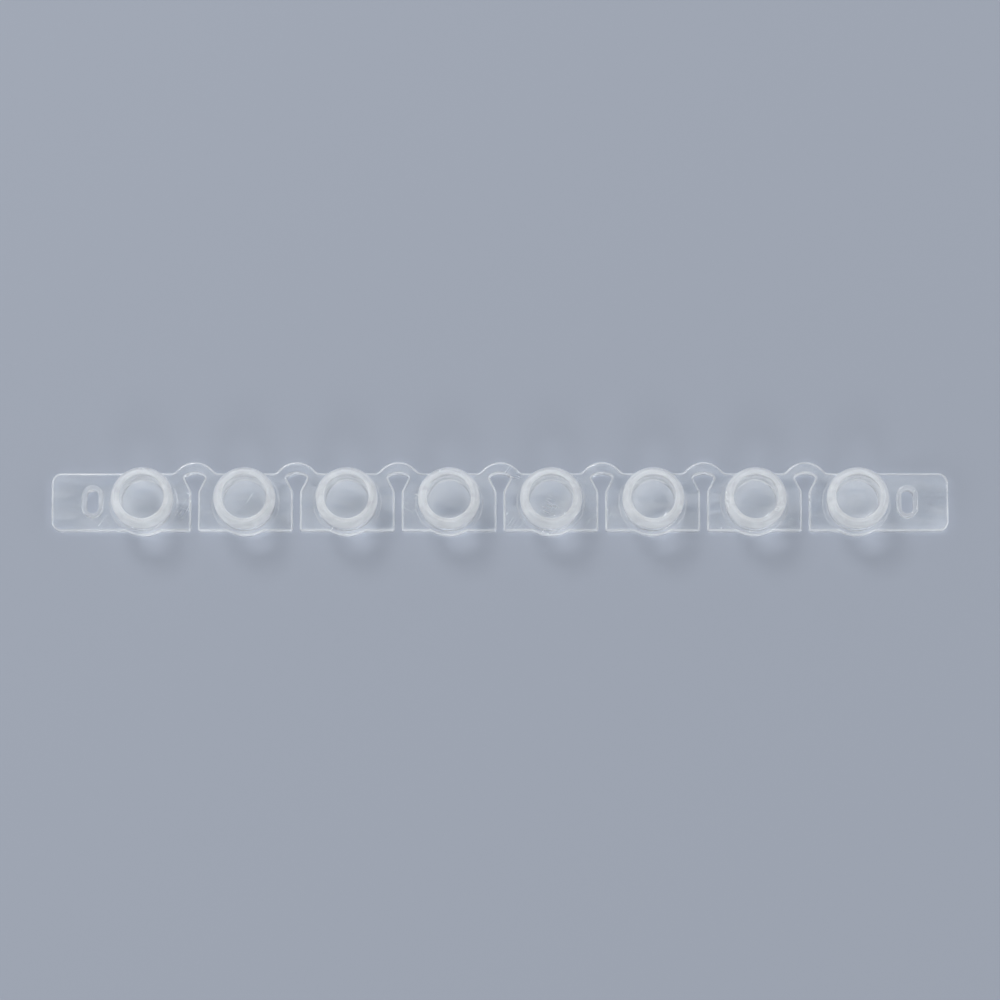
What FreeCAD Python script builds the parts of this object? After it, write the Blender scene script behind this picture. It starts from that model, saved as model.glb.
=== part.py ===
"""Strip of eight flat caps for 0.2 mL reaction tubes, moulded in one piece.

The strip lies on its flat outer face, with the plugs that enter the tubes pointing up.
X runs along the strip, Y across it and Z up. The origin is under the middle of the strip,
on the surface that it lies on. All sizes are in millimetres.
"""
import FreeCAD, Part
import math
import os

from FreeCAD import Vector

# --- the row ---------------------------------------------------------------------------------
CAP_COUNT = 8               # one cap for each tube of a column
CAP_PITCH = 9.0             # centre to centre, the standard spacing of tubes in a plate
END_REACH = 8.15            # from the centre of an end cap to the tip of its finger tab

# --- the band that carries the caps ----------------------------------------------------------
BAND_WIDTH = 5.2
BAND_THICKNESS = 0.9
TAB_CORNER_RADIUS = 0.9
EDGE_BREAK = 0.2            # bevel along the whole outline on the plug side, eyes and slits included

# --- one cap: a collar in the band, and a hollow plug on it ----------------------------------
PLUG_DIAMETER = 5.24        # body of the plug, just under the bore of the tube's mouth
PLUG_HEIGHT = 3.4           # from the band's upper face to the lip
COLLAR_WIDTH = 0.38         # step round the plug that stops on the rim of the tube
BEAD_RISE = 0.12            # sealing bead, proud of the plug's body all round
BEAD_HEIGHT = 1.35          # foot of the bead, above the band's upper face
BEAD_FLANK = 0.55           # height over which it swells
BEAD_CREST = 0.5            # height of its straight crest, which seals in the tube
LEAD_IN = 0.3               # from the crest the wall is drawn in to this much inside the body
BODY_WALL = 0.65            # from the plug's body to the mouth of its hollow
DRAFT_DEGREES = 1.5         # taper of the hollow, narrower at the window
WINDOW_THICKNESS = 0.55     # clear floor of the hollow, which light is read through
WINDOW_BEVEL = 0.35         # between the floor and the wall of the hollow

# --- the springy loop between two caps -------------------------------------------------------
LOOP_STAND_OUT = 1.0        # how far the bent strap stands out beyond the band's edge
LOOP_RADIUS = 2.1           # outside of the strap
STRAP_WIDTH = 1.05          # width of the strap at its crown
EYE_WIDTH = 1.9             # fan-shaped eye under the strap, at its widest
EYE_HEIGHT = 1.6            # from its crown to where it has narrowed to the slit
EYE_CROWN_RADIUS = 1.6
EYE_CORNER_RADIUS = 0.3
NECK_RADIUS = 0.7           # where the eye's sides run into the slit
SLIT_WIDTH = 0.6            # cut from the eye out through the opposite edge of the band
SLIT_MOUTH_RADIUS = 0.25
BLEND_RADIUS = 0.6          # inside corners where collars and loops leave the band's edge

# --- the eyelet in each finger tab -----------------------------------------------------------
EYELET_OFFSET = 4.5         # from the centre of the end cap
EYELET_LENGTH = 2.1         # the slot's long way, across the strip
EYELET_WIDTH = 1.05
RIM_WIDTH = 0.4             # raised rim round the slot
RIM_HEIGHT = 0.3
RIM_BREAK = 0.13

# --- worked out from the sizes above ---------------------------------------------------------
END_CAP = CAP_PITCH * (CAP_COUNT - 1) / 2
CAPS_X = [CAP_PITCH * i - END_CAP for i in range(CAP_COUNT)]
LOOPS_X = [x + CAP_PITCH / 2 for x in CAPS_X[:-1]]
EYELETS_X = [-END_CAP - EYELET_OFFSET, END_CAP + EYELET_OFFSET]
HALF_LENGTH = END_CAP + END_REACH
HALF_WIDTH = BAND_WIDTH / 2
PLUG_RADIUS = PLUG_DIAMETER / 2
COLLAR_RADIUS = PLUG_RADIUS + COLLAR_WIDTH
LIP_Z = BAND_THICKNESS + PLUG_HEIGHT
BEAD_Z = BAND_THICKNESS + BEAD_HEIGHT
HOLLOW_RADIUS = PLUG_RADIUS - BODY_WALL
LOOP_Y = HALF_WIDTH + LOOP_STAND_OUT - LOOP_RADIUS
EYE_CROWN_Y = HALF_WIDTH + LOOP_STAND_OUT - STRAP_WIDTH
NECK_Y = EYE_CROWN_Y - EYE_HEIGHT


def near(a, b):
    return abs(a - b) < 1e-4


def post(radius, x, y):
    """A round post as thick as the band."""
    return Part.makeCylinder(radius, BAND_THICKNESS, Vector(x, y, 0))


def corners(shape, wanted):
    """The edges square to the band whose place in plan is wanted."""
    found = []
    for edge in shape.Edges:
        foot, head = edge.Vertexes[0].Point, edge.Vertexes[-1].Point
        if near(foot.x, head.x) and near(foot.y, head.y) and not near(foot.z, head.z) and wanted(foot):
            found.append(edge)
    return found


def level_edges(shape, z):
    """The edges that lie wholly at one height."""
    return [edge for edge in shape.Edges
            if near(edge.BoundBox.ZMin, z) and near(edge.BoundBox.ZMax, z)]


def turned(x, profile):
    """A solid turned about the axis of one cap from points (radius, height)."""
    points = [Vector(x + radius, 0, z) for radius, z in profile]
    face = Part.Face(Part.makePolygon(points + points[:1]))
    return face.revolve(Vector(x, 0, 0), Vector(0, 0, 1), 360)


def blend_radius():
    """The blend on the band's edge, kept short enough for the straight run that it stands on."""
    collar_angle = math.acos(min(1, HALF_WIDTH / COLLAR_RADIUS))
    loop_angle = math.acos((HALF_WIDTH - LOOP_Y) / LOOP_RADIUS)
    run = CAP_PITCH / 2 - COLLAR_RADIUS * math.sin(collar_angle) - LOOP_RADIUS * math.sin(loop_angle)
    return min(BLEND_RADIUS, 0.9 * run / (math.tan(collar_angle / 2) + math.tan(loop_angle / 2)))


def solid_band():
    """The band in plan, with round collars under the caps and a round bulge for each loop."""
    corner = Vector(-HALF_LENGTH, -HALF_WIDTH, 0)
    band = Part.makeBox(2 * HALF_LENGTH, BAND_WIDTH, BAND_THICKNESS, corner)
    band = band.makeFillet(TAB_CORNER_RADIUS, corners(band, lambda foot: True))
    collars = [post(COLLAR_RADIUS, x, 0) for x in CAPS_X]
    bulges = [post(LOOP_RADIUS, x, LOOP_Y) for x in LOOPS_X]
    band = band.fuse(collars + bulges).removeSplitter()
    outermost = END_CAP + COLLAR_RADIUS
    where_they_leave = corners(band, lambda foot: near(abs(foot.y), HALF_WIDTH) and abs(foot.x) < outermost)
    return band.makeFillet(blend_radius(), where_they_leave)


def keyhole(x):
    """The eye of one loop, with the slit that runs from it out through the opposite edge."""
    half_eye, half_slit = EYE_WIDTH / 2, SLIT_WIDTH / 2
    shoulder_y = EYE_CROWN_Y - EYE_CROWN_RADIUS + math.sqrt(EYE_CROWN_RADIUS ** 2 - half_eye ** 2)
    left_end, left_neck = Vector(x - half_slit, -BAND_WIDTH, 0), Vector(x - half_slit, NECK_Y, 0)
    left_shoulder, crown = Vector(x - half_eye, shoulder_y, 0), Vector(x, EYE_CROWN_Y, 0)
    right_end, right_neck = Vector(x + half_slit, -BAND_WIDTH, 0), Vector(x + half_slit, NECK_Y, 0)
    right_shoulder = Vector(x + half_eye, shoulder_y, 0)
    outline = Part.Wire([
        Part.makeLine(left_end, left_neck),
        Part.makeLine(left_neck, left_shoulder),
        Part.Arc(left_shoulder, crown, right_shoulder).toShape(),
        Part.makeLine(right_shoulder, right_neck),
        Part.makeLine(right_neck, right_end),
        Part.makeLine(right_end, left_end),
    ])
    prism = Part.Face(outline).extrude(Vector(0, 0, BAND_THICKNESS))
    prism = prism.makeFillet(EYE_CORNER_RADIUS, corners(prism, lambda foot: near(foot.y, shoulder_y)))
    return prism.makeFillet(NECK_RADIUS, corners(prism, lambda foot: near(foot.y, NECK_Y)))


def looped_band():
    """The band with its keyholes cut, so that only the bent straps join the caps."""
    band = solid_band().cut([keyhole(x) for x in LOOPS_X]).removeSplitter()
    mouths = corners(band, lambda foot: near(foot.y, -HALF_WIDTH)
                     and any(near(abs(foot.x - x), SLIT_WIDTH / 2) for x in LOOPS_X))
    band = band.makeFillet(SLIT_MOUTH_RADIUS, mouths)
    return band.makeChamfer(EDGE_BREAK, level_edges(band, BAND_THICKNESS))


def slot_prism(x, length, width, height):
    """An upright prism with a slot's outline: straight sides across the strip and round ends."""
    r = width / 2
    y = length / 2 - r
    right_near, right_far = Vector(x + r, -y, 0), Vector(x + r, y, 0)
    left_near, left_far = Vector(x - r, -y, 0), Vector(x - r, y, 0)
    outline = Part.Wire([
        Part.makeLine(right_near, right_far),
        Part.Arc(right_far, Vector(x, y + r, 0), left_far).toShape(),
        Part.makeLine(left_far, left_near),
        Part.Arc(left_near, Vector(x, -y - r, 0), right_near).toShape(),
    ])
    return Part.Face(outline).extrude(Vector(0, 0, height))


def with_eyelets(band):
    """The band with a slot in each finger tab, and a rim raised round the slot."""
    top = BAND_THICKNESS + RIM_HEIGHT
    for x in EYELETS_X:
        rim = slot_prism(x, EYELET_LENGTH + 2 * RIM_WIDTH, EYELET_WIDTH + 2 * RIM_WIDTH, top)
        slot = slot_prism(x, EYELET_LENGTH, EYELET_WIDTH, top)
        eyelet = rim.cut(slot)
        eyelet = eyelet.makeChamfer(RIM_BREAK, level_edges(eyelet, top))
        band = band.cut(rim).fuse(eyelet)
    return band.removeSplitter()


def plug(x):
    """The outside of one plug: straight body, sealing bead, and a taper from bead to lip."""
    crest_z = BEAD_Z + BEAD_FLANK
    return turned(x, [
        (0, 0),
        (PLUG_RADIUS, 0),
        (PLUG_RADIUS, BEAD_Z),
        (PLUG_RADIUS + BEAD_RISE, crest_z),
        (PLUG_RADIUS + BEAD_RISE, crest_z + BEAD_CREST),
        (PLUG_RADIUS - LEAD_IN, LIP_Z),
        (0, LIP_Z),
    ])


def hollow(x):
    """The drafted hollow of one plug, down to its clear window."""
    slope = math.tan(math.radians(DRAFT_DEGREES))
    bevel_z = WINDOW_THICKNESS + WINDOW_BEVEL
    wall_foot = HOLLOW_RADIUS - (LIP_Z - bevel_z) * slope
    return turned(x, [
        (0, WINDOW_THICKNESS),
        (wall_foot - WINDOW_BEVEL, WINDOW_THICKNESS),
        (wall_foot, bevel_z),
        (HOLLOW_RADIUS, LIP_Z),
        (0, LIP_Z),
    ])


def cap_strip():
    """The whole moulding."""
    strip = with_eyelets(looped_band()).fuse([plug(x) for x in CAPS_X]).removeSplitter()
    return strip.cut([hollow(x) for x in CAPS_X])


os.makedirs("parts", exist_ok=True)
strip = cap_strip()
box = strip.BoundBox
print(f"cap_strip: {len(strip.Solids)} solid, {strip.Volume:.1f} mm3, "
      f"{box.XLength:.2f} x {box.YLength:.2f} x {box.ZLength:.2f} mm")
strip.exportStep("parts/cap_strip.step")
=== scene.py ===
import math

import bmesh
import bpy
import numpy as np
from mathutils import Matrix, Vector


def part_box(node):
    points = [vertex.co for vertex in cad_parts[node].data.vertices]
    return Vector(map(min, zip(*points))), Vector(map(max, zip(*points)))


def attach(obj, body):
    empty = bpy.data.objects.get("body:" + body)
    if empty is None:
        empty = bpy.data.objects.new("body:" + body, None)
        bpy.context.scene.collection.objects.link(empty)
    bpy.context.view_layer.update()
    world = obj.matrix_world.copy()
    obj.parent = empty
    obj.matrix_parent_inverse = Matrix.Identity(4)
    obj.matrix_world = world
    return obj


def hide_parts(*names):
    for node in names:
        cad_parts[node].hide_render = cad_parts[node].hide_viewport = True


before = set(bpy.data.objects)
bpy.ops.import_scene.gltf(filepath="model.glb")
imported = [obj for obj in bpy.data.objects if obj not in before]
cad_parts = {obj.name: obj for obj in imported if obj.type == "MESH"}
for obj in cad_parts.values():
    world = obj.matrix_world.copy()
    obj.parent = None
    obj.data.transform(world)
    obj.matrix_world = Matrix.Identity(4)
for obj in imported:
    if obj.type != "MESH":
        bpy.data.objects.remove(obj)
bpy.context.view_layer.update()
scene = bpy.context.scene

# ----------------------------------------------------------------------------------------------
# The band: a thin flat strip of clear polypropylene, one with the caps it carries. Between every
# two caps a fan-shaped eye and a slit are cut through it, so that only a bent strap joins them.
# Its edges are rounded by the mould on the plug side and nearly sharp on the flat side, where
# the mould parts. Sizes are in millimetres.
# ----------------------------------------------------------------------------------------------
MM = 0.001
HIGHEST = np.array(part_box("cap_strip"))[1] / MM
CAP_COUNT = 8
PITCH = 9.0                 # centre to centre
CAPS_X = PITCH * (np.arange(CAP_COUNT) - (CAP_COUNT - 1) / 2)
LOOPS_X = CAPS_X[:-1] + PITCH / 2
HALF_LENGTH = HIGHEST[0]
HALF_WIDTH = 2.6
BAND_TOP = 0.9
TAB_CORNER = 0.9
COLLAR_RADIUS = 3.0
LOOP_RADIUS = 2.1
LOOP_CENTRE_Y = HIGHEST[1] - LOOP_RADIUS
BLEND = 0.6                 # where collars and straps leave the straight edge
EYE_CROWN_Y = 2.55
EYE_CROWN_RADIUS = 1.6
EYE_HALF_WIDTH = 0.95
EYE_CORNER = 0.24           # where the crown turns down into the eye's sides
NECK_Y = 0.95
NECK_ROUND = 0.7            # where the sides run into the slit
HALF_SLIT = 0.3
MOUTH_ROUND = 0.25          # where the slit opens on the band's near edge
TOP_ROUND = 0.2
UNDER_ROUND = 0.06


def arc(centre, radius, start, end):
    """Points on a circle from one angle to the other, in degrees: centre plus radius times
    (cosine, sine), about 7 degrees or a quarter of a millimetre apart."""
    turn = abs(end - start)
    steps = max(2, math.ceil(turn / 7), math.ceil(math.radians(turn) * radius / 0.25))
    angle = np.radians(np.linspace(start, end, steps + 1))
    return np.stack([centre[0] + radius * np.cos(angle), centre[1] + radius * np.sin(angle)], axis=1)


def rounded(corners, radii):
    """A line through the corners with each inner one replaced by an arc of its radius. The arc
    touches both sides at radius over the tangent of half the angle between them, and its points
    turn evenly from one touching point to the other about the centre, about 11 degrees apart."""
    corners = np.array(corners, dtype=float)
    pieces = [corners[:1]]
    for before, corner, after, radius in zip(corners[:-2], corners[1:-1], corners[2:], radii):
        u = (before - corner) / np.linalg.norm(before - corner)
        v = (after - corner) / np.linalg.norm(after - corner)
        half = math.acos(float(np.clip(u @ v, -1, 1))) / 2
        middle = (u + v) / np.linalg.norm(u + v)
        centre = corner + middle * radius / math.sin(half)
        first = corner + u * radius / math.tan(half) - centre
        last = corner + v * radius / math.tan(half) - centre
        turn = math.pi - 2 * half
        share = np.linspace(0, 1, max(3, math.ceil(math.degrees(turn) / 11)) + 1)[:, None]
        swing = np.sin((1 - share) * turn) * first + np.sin(share * turn) * last
        pieces.append(centre + swing / math.sin(turn))
    pieces.append(corners[-1:])
    return np.concatenate(pieces)


def bump(radius, centre_y):
    """A round bulge on the straight edge, from left to right: a hollow blend, the bulge and a
    blend again. The blend's circle touches the edge from outside and the bulge from outside, so
    its centre is a blend above the edge and a radius plus a blend from the bulge's centre."""
    rise = HALF_WIDTH + BLEND - centre_y
    run = math.sqrt((radius + BLEND) ** 2 - rise ** 2)
    lean = math.degrees(math.atan2(rise, run))
    left = arc((-run, HALF_WIDTH + BLEND), BLEND, -90, -lean)
    over = arc((0, centre_y), radius, 180 - lean, lean)
    return np.concatenate([left, over[1:-1], left[::-1] * (-1, 1)])


def half_keyhole():
    """The right half of one keyhole, from the crown of its eye down to the mouth of its slit. The
    crown's arc stops 11 degrees short of the eye's corner, to leave room for the corner's own."""
    crown_centre = EYE_CROWN_Y - EYE_CROWN_RADIUS
    shoulder_y = crown_centre + math.sqrt(EYE_CROWN_RADIUS ** 2 - EYE_HALF_WIDTH ** 2)
    lean = math.degrees(math.atan2(shoulder_y - crown_centre, EYE_HALF_WIDTH))
    crown = arc((0, crown_centre), EYE_CROWN_RADIUS, 90, lean + 11)
    walls = rounded([crown[-1], (EYE_HALF_WIDTH, shoulder_y), (HALF_SLIT, NECK_Y), (HALF_SLIT, -HALF_WIDTH),
                     (HALF_SLIT + 2 * MOUTH_ROUND, -HALF_WIDTH)], [EYE_CORNER, NECK_ROUND, MOUTH_ROUND])
    return np.concatenate([crown, walls[1:-1]])


def band_outline():
    """The band's whole edge in plan as one closed path, anticlockwise from the left end."""
    collar, loop, keyhole = bump(COLLAR_RADIUS, 0), bump(LOOP_RADIUS, LOOP_CENTRE_Y), half_keyhole()
    keyhole = np.concatenate([keyhole[:0:-1] * (-1, 1), keyhole])
    end_x, end_y = HALF_LENGTH - TAB_CORNER, HALF_WIDTH - TAB_CORNER
    near_side = [arc((-end_x, -end_y), TAB_CORNER, 180, 270)]
    for x, loop_x in zip(CAPS_X, LOOPS_X):
        near_side += [collar * (1, -1) + (x, 0), keyhole + (loop_x, 0)]
    near_side += [collar * (1, -1) + (CAPS_X[-1], 0), arc((end_x, -end_y), TAB_CORNER, 270, 360)]
    far_side = [arc((end_x, end_y), TAB_CORNER, 0, 90)]
    for x, loop_x in zip(CAPS_X[:0:-1], LOOPS_X[::-1]):
        far_side += [collar[::-1] + (x, 0), loop[::-1] + (loop_x, 0)]
    far_side += [collar[::-1] + (CAPS_X[0], 0), arc((-end_x, end_y), TAB_CORNER, 90, 180)]
    return np.concatenate(near_side + far_side)


def carried_along(path, profile):
    """A grid of a profile of (inset, height) carried round a closed path: each point of the path
    moves in by the inset, square to the mean of the two edges that meet there."""
    edge = np.roll(path, -1, axis=0) - path
    edge /= np.linalg.norm(edge, axis=1, keepdims=True)
    along = edge + np.roll(edge, 1, axis=0)
    along /= np.linalg.norm(along, axis=1, keepdims=True)
    inward = np.stack([-along[:, 1], along[:, 0]], axis=1)
    plan = path[None] + profile[:, 0, None, None] * inward[None]
    height = np.broadcast_to(profile[:, 1, None, None], plan.shape[:2] + (1,))
    return np.concatenate([plan, height], axis=2)


def rounded_rim(top, under, top_round, under_round):
    """(inset, height) from the upper face round the edge to the lower face: a quarter circle,
    the upright wall, and a smaller quarter circle."""
    turn = np.radians(np.linspace(90, 0, 7))
    upper = np.stack([top_round * (1 - np.cos(turn)), top - top_round * (1 - np.sin(turn))], axis=1)
    turn = turn[::-1][::2]
    lower = np.stack([under_round * (1 - np.cos(turn)), under + under_round * (1 - np.sin(turn))], axis=1)
    return np.concatenate([upper, lower])


rim = rounded_rim(BAND_TOP, 0, TOP_ROUND, UNDER_ROUND)
# One more row just inside the round, so that the flat face beyond it is shaded flat.
rim = np.concatenate([[(TOP_ROUND + 0.03, BAND_TOP)], rim])
grids = [carried_along(band_outline(), rim)]
# How cloudy the plastic looks, from 0 on the thin flat faces to a little over 1 in the thickest wall, one
# value for each row of a grid: the band's edge gathers light, and that light is painted on as extra haze, a
# painted glow that makes the edge look whiter.
haze_and_edge_glow = [np.concatenate([[0.0, 0.45], np.full(len(rim) - 4, 0.84), [0.4, 0.0]])]

# ----------------------------------------------------------------------------------------------
# The eight plugs: hollow rings that press into the mouths of the tubes. Each has a straight body,
# a soft sealing bead, a taper to the lip, and a drafted hollow whose thin floor is the clear
# window. They are moulded with the band and turned true, so a profile is carried round each axis.
# ----------------------------------------------------------------------------------------------
BODY_RADIUS = 2.62
BEAD_RADIUS = 2.74
BEAD_FOOT_Z = 2.25
CREST_FOOT_Z = 2.8
CREST_TOP_Z = 3.3
LIP_Z = HIGHEST[2]
LIP_RADIUS = 2.32
HOLLOW_RADIUS = 1.97
WINDOW_TOP = 0.55
DRAFT = math.radians(1.5)   # so that the mould's core draws out of the hollow
WALL_FOOT_RADIUS = HOLLOW_RADIUS - (LIP_Z - WINDOW_TOP) * math.tan(DRAFT)
PLUG_SIDES = 96


def turned(profile, x):
    """A grid of (radius, height) turned about one cap's axis: radius times the cosine and sine."""
    angle = np.linspace(0, 2 * np.pi, PLUG_SIDES, endpoint=False)
    radius = profile[:, 0, None]
    height = np.broadcast_to(profile[:, 1, None], (len(profile), PLUG_SIDES))
    return np.stack([x + radius * np.cos(angle), radius * np.sin(angle), height], axis=2)


# (radius, height) of each corner of the section and how much it is rounded, from the plug's foot
# on the band over the lip and down the hollow to the window.
plug_corners = [
    (BODY_RADIUS, BAND_TOP, 0.1),
    (BODY_RADIUS, BEAD_FOOT_Z, 0.9),
    (BEAD_RADIUS, CREST_FOOT_Z, 0.9),
    (BEAD_RADIUS, CREST_TOP_Z, 0.9),
    (LIP_RADIUS, LIP_Z, 0.13),
    (HOLLOW_RADIUS, LIP_Z, 0.11),
    (WALL_FOOT_RADIUS, WINDOW_TOP, 0.45)]
on_band, on_window = (BODY_RADIUS + 0.1, BAND_TOP), (1.2, WINDOW_TOP)
plug_profile = rounded([on_band, *[corner[:2] for corner in plug_corners], on_window],
                       [corner[2] for corner in plug_corners])[1:]
grids += [turned(plug_profile, x) for x in CAPS_X]
# The wall is cloudiest at its lip and clears towards the window.
plug_haze = np.interp(plug_profile[:, 1],
                      [WINDOW_TOP, 1.2, 2.6, 3.4, LIP_Z], [0.35, 0.4, 0.9, 1.15, 1.2])
plug_haze[0] = 0.0
plug_haze[-1] = 0.12
haze_and_edge_glow += [plug_haze] * len(CAPS_X)

# ----------------------------------------------------------------------------------------------
# The eyelets: a short slot through each finger tab with a low raised rim, moulded with the band.
# The rim gathers light, and that light is painted on as extra haze, so the rim looks whiter than the wall of
# the slot below it.
# ----------------------------------------------------------------------------------------------
EYELET_OFFSET = 4.5         # from the centre of the end cap
EYELETS_X = (CAPS_X[0] - EYELET_OFFSET, CAPS_X[-1] + EYELET_OFFSET)
SLOT_RADIUS = 0.525
SLOT_HALF_RUN = 0.525       # half of the slot's straight sides
RIM_TOP = 1.2
RIM_WIDTH = 0.4
RIM_FOOT_ROUND = 0.06
RIM_TOP_ROUND = 0.14


def eyelet(x):
    """A grid of a low rim's profile carried round a slot with straight sides and round ends."""
    far_end = arc((x, SLOT_HALF_RUN), SLOT_RADIUS, 0, 180)
    near_end = arc((x, -SLOT_HALF_RUN), SLOT_RADIUS, 180, 360)
    profile = rounded([(-RIM_WIDTH - RIM_FOOT_ROUND, BAND_TOP), (-RIM_WIDTH, BAND_TOP), (-RIM_WIDTH, RIM_TOP),
                       (0, RIM_TOP), (0, 0), (-UNDER_ROUND, 0)],
                      [RIM_FOOT_ROUND, RIM_TOP_ROUND, RIM_TOP_ROUND, UNDER_ROUND])[1:-1]
    return carried_along(np.concatenate([far_end, near_end]), profile)


for x in EYELETS_X:
    grids.append(eyelet(x))
    # Haze rising from the slot's wall to the rim; the rim's share of it is painted glow.
    haze_and_edge_glow.append(np.interp(grids[-1][:, 0, 2], [0, 0.85, 1.0, RIM_TOP], [0.1, 0.15, 0.4, 0.5]))
    haze_and_edge_glow[-1][[0, -1]] = 0.0


# ----------------------------------------------------------------------------------------------
# The moulding as one closed skin: the grids above, joined by the flat faces between their rims.
# ----------------------------------------------------------------------------------------------
def ring_quads(shape, first):
    """Corner numbers of a grid's faces: each row is a closed ring joined to the next row."""
    rows, sides = shape[:2]
    row, side = np.meshgrid(np.arange(rows - 1), np.arange(sides), indexing="ij")
    here, beside = row * sides + side, row * sides + (side + 1) % sides
    return first + np.stack([here, beside, beside + sides, here + sides], axis=2).reshape(-1, 4)


def closed_skin(name, grids, haze_and_edge_glow):
    """One mesh from ring grids: flat faces are filled in between the open rims at each height,
    every face is turned to point outwards, and each point keeps its row's haze."""
    firsts = np.cumsum([0] + [grid.shape[0] * grid.shape[1] for grid in grids])
    quads = np.concatenate([ring_quads(grid.shape, first) for grid, first in zip(grids, firsts)])
    points = np.concatenate([grid.reshape(-1, 3) for grid in grids]) * MM
    mesh = bpy.data.meshes.new(name)
    mesh.from_pydata(points.tolist(), [], quads.tolist())
    skin = bmesh.new()
    skin.from_mesh(mesh)
    for face in skin.faces:
        face.smooth = True
    for height in (0, WINDOW_TOP * MM, BAND_TOP * MM):
        rims = [edge for edge in skin.edges
                if edge.is_boundary and max(abs(vert.co.z - height) for vert in edge.verts) < 1e-7]
        bmesh.ops.triangle_fill(skin, use_beauty=True, use_dissolve=False, edges=rims, normal=(0, 0, 1))
    bmesh.ops.recalc_face_normals(skin, faces=skin.faces)
    skin.to_mesh(mesh)
    skin.free()
    cloud_and_edge_glow = np.concatenate([np.repeat(rows, grid.shape[1]) for grid, rows in zip(grids, haze_and_edge_glow)])
    mesh.attributes.new("haze_and_edge_glow", "FLOAT", "POINT").data.foreach_set("value", cloud_and_edge_glow.astype(np.float32))
    return mesh


moulding = bpy.data.objects.new("cap_strip_moulding", closed_skin("cap_strip_moulding", grids, haze_and_edge_glow))
scene.collection.objects.link(moulding)


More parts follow.
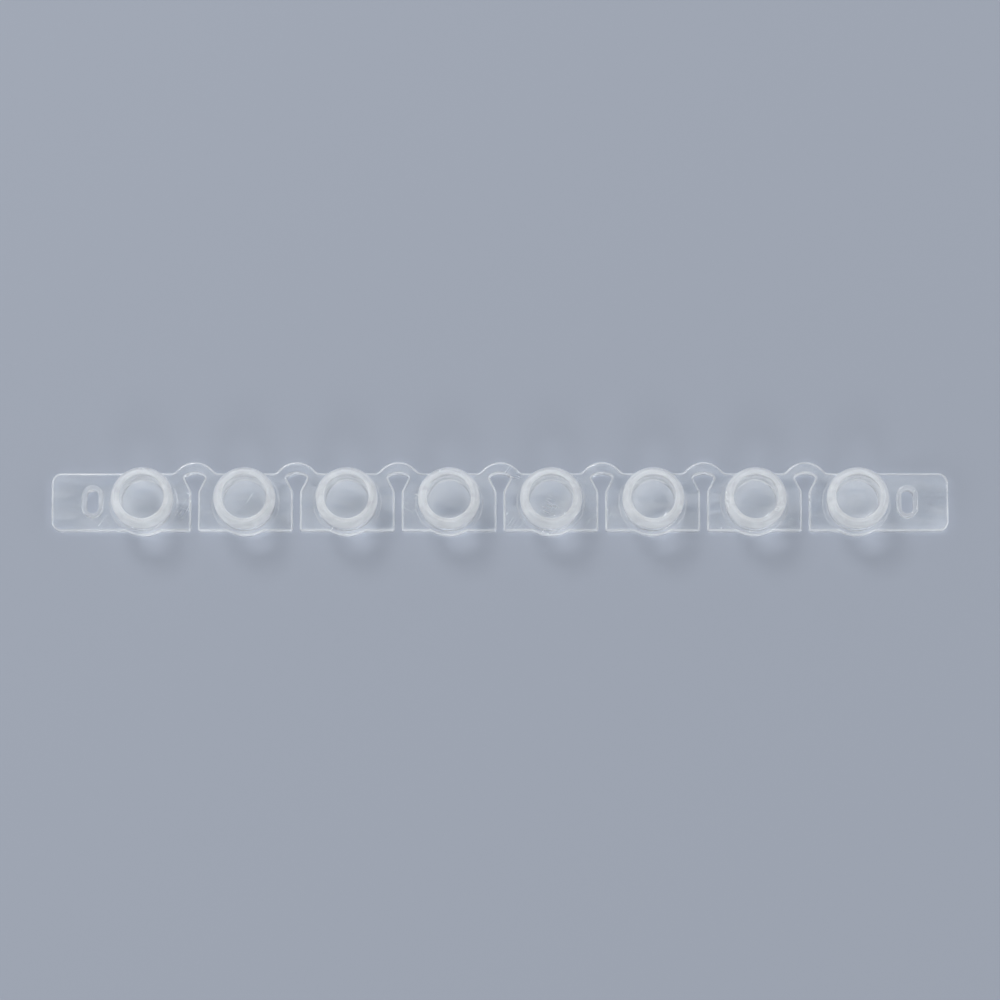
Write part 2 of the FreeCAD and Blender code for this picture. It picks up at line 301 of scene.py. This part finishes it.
def clear_polypropylene():
    """Natural polypropylene: clear but a little milky, more so where it is thick. Heights are in
    metres and are added up before one bump: a slow ripple, a fine grain, short hairline scuffs, a
    raised line round each collar where the mould's cores meet its plate, and a faint sink on the
    flat side under each plug's wall. Lamps shine through it on to whatever it lies on."""
    material = bpy.data.materials.new("clear_polypropylene")
    material.use_nodes = True
    nodes, links = material.node_tree.nodes, material.node_tree.links
    shader = nodes["Principled BSDF"]
    shader.inputs["Base Color"].default_value = (0.93, 0.945, 0.955, 1)
    shader.inputs["IOR"].default_value = 1.49
    shader.inputs["Transmission Weight"].default_value = 0.9
    place = nodes.new("ShaderNodeTexCoord").outputs["Object"]

    def feed(socket, value):
        """Joins an output to a socket, or sets the socket to a plain number."""
        if isinstance(value, bpy.types.NodeSocket):
            links.new(value, socket)
        else:
            socket.default_value = value

    def maths(operation, first, second=0.0, third=0.0):
        """One sum on up to three values."""
        step = nodes.new("ShaderNodeMath")
        step.operation = operation
        for socket, value in zip(step.inputs, (first, second, third)):
            feed(socket, value)
        return step.outputs[0]

    def ramp(value, from_low, from_high, to_low, to_high):
        """A smooth step from one value to the other, level outside the range."""
        step = nodes.new("ShaderNodeMapRange")
        step.interpolation_type = "SMOOTHSTEP"
        for name, number in (("Value", value), ("From Min", from_low), ("From Max", from_high),
                             ("To Min", to_low), ("To Max", to_high)):
            feed(step.inputs[name], number)
        return step.outputs[0]

    def stretched(turn, squeeze):
        """Object coordinates turned about z and then squeezed along x, which draws a pattern out."""
        turned_place = nodes.new("ShaderNodeMapping")
        turned_place.inputs["Rotation"].default_value = (0, 0, math.radians(turn))
        links.new(place, turned_place.inputs["Vector"])
        drawn_out = nodes.new("ShaderNodeMapping")
        drawn_out.inputs["Scale"].default_value = (squeeze, 1, 1)
        links.new(turned_place.outputs[0], drawn_out.inputs["Vector"])
        return drawn_out.outputs[0]

    def noise(vector, scale, detail, distortion=0.0):
        """Soft noise from 0 to 1 about a middle of 0.5, with the scale in waves to the metre."""
        pattern = nodes.new("ShaderNodeTexNoise")
        pattern.inputs["Scale"].default_value = scale
        pattern.inputs["Detail"].default_value = detail
        pattern.inputs["Distortion"].default_value = distortion
        links.new(vector, pattern.inputs["Vector"])
        return pattern.outputs["Fac"]

    # Milkiness: the mesh's own haze, with wisps drawn out along the strip as the melt ran. On the band's edge
    # and the eyelets' rims that haze carries a painted glow, which the lower transmission shows as whiter
    # plastic.
    flow = noise(stretched(0, 0.3), 900, 3, 0.6)
    mesh_haze_and_edge_glow = nodes.new("ShaderNodeAttribute")
    mesh_haze_and_edge_glow.attribute_name = "haze_and_edge_glow"
    cloud_and_edge_glow = maths("MULTIPLY_ADD", maths("SUBTRACT", flow, 0.5), 1.0, mesh_haze_and_edge_glow.outputs["Fac"])

    def streaks(turn, scale):
        """Thin streaks in one direction, in patches: a drawn-out noise makes one wherever it
        crosses its middle value."""
        middle = maths("ABSOLUTE", maths("SUBTRACT", noise(stretched(turn, 0.04), scale, 1), 0.5))
        streak = ramp(middle, 0.0, 0.012, 1.0, 0.0)
        return maths("MULTIPLY", streak, ramp(noise(place, 330, 1), 0.5, 0.7, 0.0, 1.0))

    # Scuffs in two directions, cloudier and rougher than the rest.
    scuffs = maths("MAXIMUM", streaks(24, 2100), streaks(-57, 1700))
    cloud_and_edge_glow = maths("MULTIPLY_ADD", scuffs, 0.12, cloud_and_edge_glow)
    gloss = ramp(noise(place, 420, 4), 0.35, 0.65, 0.07, 0.15)
    feed(shader.inputs["Roughness"], maths("MULTIPLY_ADD", scuffs, 0.16, gloss))

    # How far a point is from the nearest cap's axis: the root of its two distances squared.
    apart = nodes.new("ShaderNodeSeparateXYZ")
    links.new(place, apart.inputs[0])
    half_pitch = PITCH / 2 * MM
    across = maths("SUBTRACT", half_pitch, maths("PINGPONG", apart.outputs["X"], half_pitch))
    reach = maths("SQRT", maths("ADD", maths("MULTIPLY", across, across),
                                maths("MULTIPLY", apart.outputs["Y"], apart.outputs["Y"])))

    # The raised line: about a tenth of a millimetre wide, just inside the edge of each collar, and
    # a little whiter than the rest. The finger tabs beyond the end caps have none.
    line_radius, line_core, line_edge = 2.97 * MM, 0.02 * MM, 0.08 * MM
    line = ramp(maths("ABSOLUTE", maths("SUBTRACT", reach, line_radius)), line_core, line_edge, 1.0, 0.0)
    caps_end = (CAPS_X[-1] + PITCH / 2) * MM
    line = maths("MULTIPLY", line, maths("LESS_THAN", maths("ABSOLUTE", apart.outputs["X"]), caps_end))
    milkiness_and_edge_glow = maths("MULTIPLY_ADD", line, 0.3, cloud_and_edge_glow)
    feed(shader.inputs["Transmission Weight"], maths("MULTIPLY_ADD", milkiness_and_edge_glow, -0.31, 0.95))

    # The sink: a shallow ring under the middle of each plug's wall, on the flat side only.
    sink_radius, sink_reach, sink_depth = 2.3 * MM, 0.5 * MM, 7e-6
    sink = ramp(maths("ABSOLUTE", maths("SUBTRACT", reach, sink_radius)), 0.0, sink_reach, -sink_depth, 0.0)
    sink = maths("MULTIPLY", sink, maths("LESS_THAN", apart.outputs["Z"], 0.03 * MM))

    height = maths("MULTIPLY_ADD", line, 8e-6, sink)
    for scale, rise in ((260, 9e-6), (5200, 0.9e-6)):           # the ripple, then the grain
        height = maths("MULTIPLY_ADD", noise(place, scale, 2), rise, height)
    height = maths("MULTIPLY_ADD", scuffs, -1.2e-6, height)
    surface = nodes.new("ShaderNodeBump")
    surface.inputs["Strength"].default_value = 1.0
    surface.inputs["Distance"].default_value = 1.0              # the heights are metres already
    feed(surface.inputs["Height"], height)
    feed(shader.inputs["Normal"], surface.outputs["Normal"])

    # What a lamp's light keeps at each surface: an edge guides it on, a flat face sends more back,
    # and the thick lip of a plug takes the most, which is what throws the soft shadow.
    light_path = nodes.new("ShaderNodeLightPath")
    let_through = nodes.new("ShaderNodeBsdfTransparent")
    passed = ramp(mesh_haze_and_edge_glow.outputs["Fac"], 0.1, 0.8, 0.74, 1.0)
    lip_foot, lip_full = 2.3 * MM, 3.0 * MM
    passed = maths("MULTIPLY", passed, ramp(apart.outputs["Z"], lip_foot, lip_full, 1.0, 0.5))
    feed(let_through.inputs["Color"], passed)
    lamp_or_eye = nodes.new("ShaderNodeMixShader")
    links.new(light_path.outputs["Is Shadow Ray"], lamp_or_eye.inputs[0])
    links.new(shader.outputs[0], lamp_or_eye.inputs[1])
    links.new(let_through.outputs[0], lamp_or_eye.inputs[2])
    links.new(lamp_or_eye.outputs[0], nodes["Material Output"].inputs["Surface"])
    return material


moulding.data.materials.append(clear_polypropylene())
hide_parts("cap_strip")
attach(moulding, "root")

# ----------------------------------------------------------------------------------------------
# The floor: a plain pale sheet of matt paper, a hair under the strip, so that the two faces don't
# lie in one plane.
# ----------------------------------------------------------------------------------------------
FLOOR_Z = -3e-5
floor_corners = [(x, y, FLOOR_Z) for x, y in ((-2, -2), (2, -2), (2, 2), (-2, 2))]
floor_mesh = bpy.data.meshes.new("floor")
floor_mesh.from_pydata(floor_corners, [], [(0, 1, 2, 3)])
floor = bpy.data.objects.new("floor", floor_mesh)
scene.collection.objects.link(floor)
floor_paper = bpy.data.materials.new("floor_paper")
floor_paper.use_nodes = True
paper = floor_paper.node_tree.nodes["Principled BSDF"]
paper.inputs["Base Color"].default_value = (0.33, 0.363, 0.432, 1)
paper.inputs["Roughness"].default_value = 0.7
floor_mesh.materials.append(floor_paper)

# ----------------------------------------------------------------------------------------------
# Studio light: a main soft box from the far left and a weaker one over each other side, in a
# pale tent.
# ----------------------------------------------------------------------------------------------
def soft_box(name, place, size, watts):
    """A square lamp at a place in metres, aimed at the strip. Its light already passes straight
    through clear pieces, so bent rays don't bring it a second time."""
    lamp = bpy.data.lights.new(name, "AREA")
    lamp.size = size
    lamp.energy = watts
    box = bpy.data.objects.new(name, lamp)
    box.location = place
    box.rotation_euler = (-box.location).to_track_quat("-Z", "Y").to_euler()
    box.visible_transmission = False
    scene.collection.objects.link(box)


soft_box("main_soft_box", (-0.17, 0.37, 0.45), 0.2, 1.5)
soft_box("left_soft_box", (-0.5, -0.1, 0.35), 0.2, 0.95)
soft_box("right_soft_box", (0.5, 0, 0.35), 0.2, 0.95)
soft_box("near_soft_box", (0, -0.5, 0.35), 0.2, 0.6)

# The sky is brightest low down, as in a light tent, so that upright walls and edges shine.
world = bpy.data.worlds.new("studio")
world.use_nodes = True
sky, sky_links = world.node_tree.nodes, world.node_tree.links
sky["Background"].inputs["Color"].default_value = (0.92, 0.94, 0.96, 1)
direction = sky.new("ShaderNodeTexCoord")
height = sky.new("ShaderNodeSeparateXYZ")
brightness = sky.new("ShaderNodeMapRange")
brightness.interpolation_type = "SMOOTHSTEP"
for name, value in (("From Min", 0.1), ("From Max", 0.7), ("To Min", 1.0), ("To Max", 0.2)):
    brightness.inputs[name].default_value = value
sky_links.new(direction.outputs["Generated"], height.inputs[0])
sky_links.new(height.outputs["Z"], brightness.inputs["Value"])
sky_links.new(brightness.outputs["Result"], sky["Background"].inputs["Strength"])
scene.world = world

# ----------------------------------------------------------------------------------------------
# The camera: high over the near side, far off with a long lens.
# ----------------------------------------------------------------------------------------------
camera_data = bpy.data.cameras.new("camera")
camera_data.lens = 200
camera_data.clip_start = 0.01
camera = bpy.data.objects.new("camera", camera_data)
elevation, distance = math.radians(81), 0.49
half_height = 0.002         # the camera looks at the middle of the plugs' height
camera.location = (0, -distance * math.cos(elevation), half_height + distance * math.sin(elevation))
camera.rotation_euler = (math.pi / 2 - elevation, 0, 0)
scene.collection.objects.link(camera)
scene.camera = camera
scene.view_settings.view_transform = "Standard"
